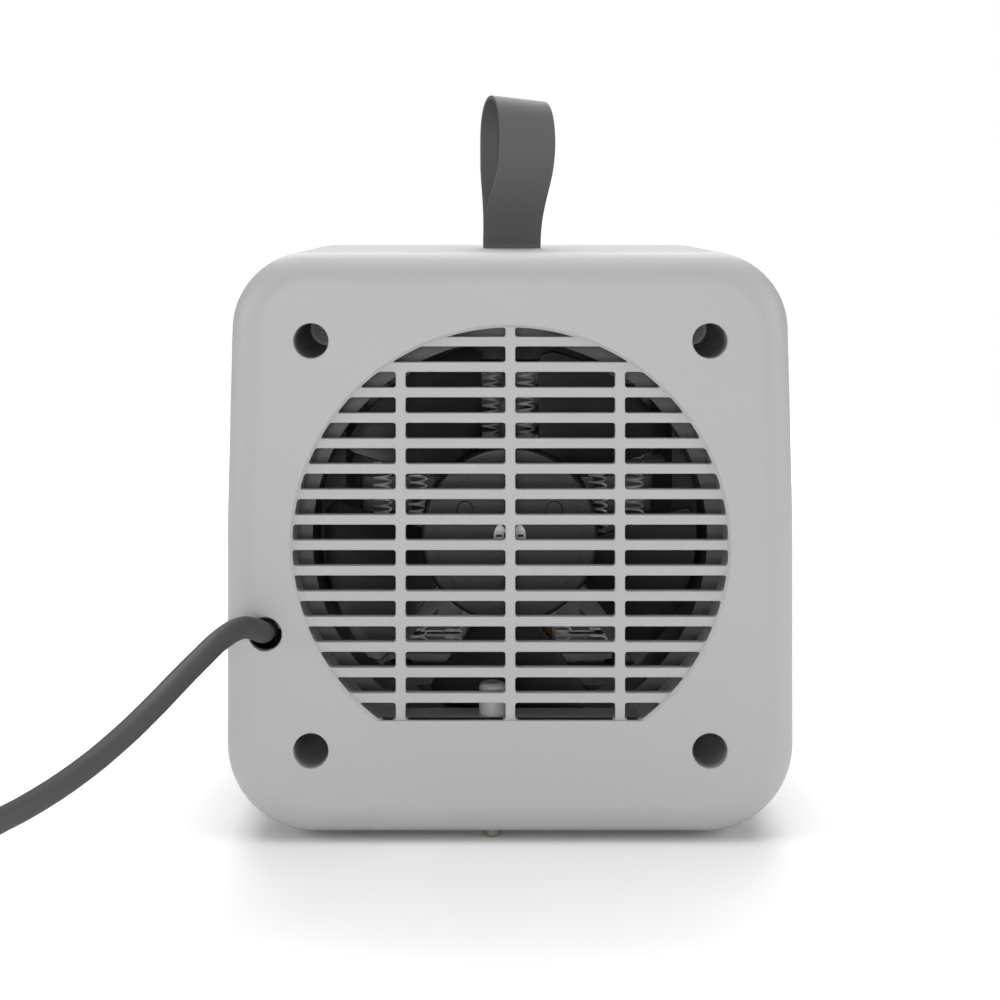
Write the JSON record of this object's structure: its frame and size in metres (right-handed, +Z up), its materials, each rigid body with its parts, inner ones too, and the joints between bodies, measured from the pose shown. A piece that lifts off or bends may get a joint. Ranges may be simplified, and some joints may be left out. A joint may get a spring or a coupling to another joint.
{
  "type": "fan heater",
  "caption": "Compact cube-shaped fan heater with rear intake louvres, a silicone strap handle, open wire coils, control knobs and a mains lead with its plug.",
  "frame": {"origin": "on the table, under the middle of the heater without its lead", "axes": "+Z up through the strap handle, the front grille and knobs face -Y, the louvres face +Y, +X is the side that the mains lead leaves from"},
  "size_m": [0.3863, 0.2323, 0.2388],
  "materials": {
    "case": "fine satin texture",
    "grille": "satin",
    "steel": "zinc plated",
    "rubber_foot": "matte",
    "strap": "soft matte silicone",
    "dark_plastic": "satin moulded",
    "rotor": "cast",
    "lamination": "stamped and stacked",
    "cream_plastic": "moulded",
    "copper": "enamelled wire",
    "bronze": "sintered",
    "sleeve": "rolled sheet",
    "mica": "flaky mica sheet",
    "heating_wire": "bright resistance wire",
    "cutout": "phenolic",
    "knob": "satin",
    "lens": "clear tinted",
    "lamp": "small neon bulb",
    "black_plastic": "moulded",
    "lead": "insulated wire",
    "cord": "soft flexible sheath",
    "tie": "woven hook and loop",
    "plug": "moulded",
    "brass_pin": "nickel plated"
  },
  "bodies": {
    "root": {"rear_shell": "case", "front_shell": "case", "front_grille": "grille", "case_screws": "steel", "feet": "rubber_foot", "strap_anchor": "strap", "strap_pin": "steel", "fan_shroud": "dark_plastic", "shroud_screws": "steel", "motor_core": "lamination", "motor_bobbin": "cream_plastic", "motor_winding": "copper", "motor_bridge_rear": "steel", "motor_bridge_front": "steel", "bearing_rear": "bronze", "bearing_front": "bronze", "motor_screws": "steel", "heat_sleeve": "sleeve", "element_cards": "mica", "heating_coil_low": "heating_wire", "heating_coil_high": "heating_wire", "element_terminals": "steel", "thermal_cutout": "cutout", "thermal_fuse": "steel", "thermostat_body": "cream_plastic", "thermostat_nut": "steel", "switch_body": "cream_plastic", "switch_nut": "steel", "pilot_lens": "lens", "pilot_lamp": "lamp", "tip_switch": "black_plastic", "tip_spring": "steel", "terminal_block": "cream_plastic", "supply_leads": "lead", "motor_leads": "lead", "element_leads": "lead", "cord_clamp": "cream_plastic", "clamp_screws": "steel", "mains_cord": "cord", "cord_coil": "cord", "cord_tie": "tie", "plug_body": "plug", "plug_pins": "brass_pin"},
    "fan": {"fan_wheel": "dark_plastic", "fan_clip": "steel", "motor_shaft": "steel", "motor_rotor": "rotor"},
    "thermostat_dial": {"thermostat_spindle": "steel", "thermostat_knob": "knob"},
    "mode_dial": {"switch_spindle": "steel", "switch_knob": "knob"},
    "tip_rod": {"tip_plunger": "cream_plastic"},
    "strap": {"strap_handle": "strap"}
  },
  "joints": [
    {"name": "fan_spin", "type": "hinge", "parent": "root", "child": "fan", "pos_m": [0, 0.0435, 0.094], "axis": [0, 1, 0], "continuous": true},
    {"name": "thermostat_turn", "type": "hinge", "parent": "root", "child": "thermostat_dial", "pos_m": [0.044, -0.065, 0.023], "axis": [0, 1, 0], "range_deg": [0, 270]},
    {"name": "mode_turn", "type": "hinge", "parent": "root", "child": "mode_dial", "pos_m": [-0.044, -0.065, 0.023], "axis": [0, 1, 0], "range_deg": [0, 135]},
    {"name": "tip_travel", "type": "slide", "parent": "root", "child": "tip_rod", "axis": [0, 0, 1], "range_m": [-0.004, 0], "stiffness_N_per_m": 100, "springref_m": -0.01, "deforming": ["tip_spring"]},
    {"name": "strap_lean", "type": "hinge", "parent": "root", "child": "strap", "pos_m": [-0.0012, 0.0065, 0.1875], "axis": [1, 0, 0], "range_deg": [-50, 50], "stiffness_Nm_per_rad": 0.02}
  ]
}
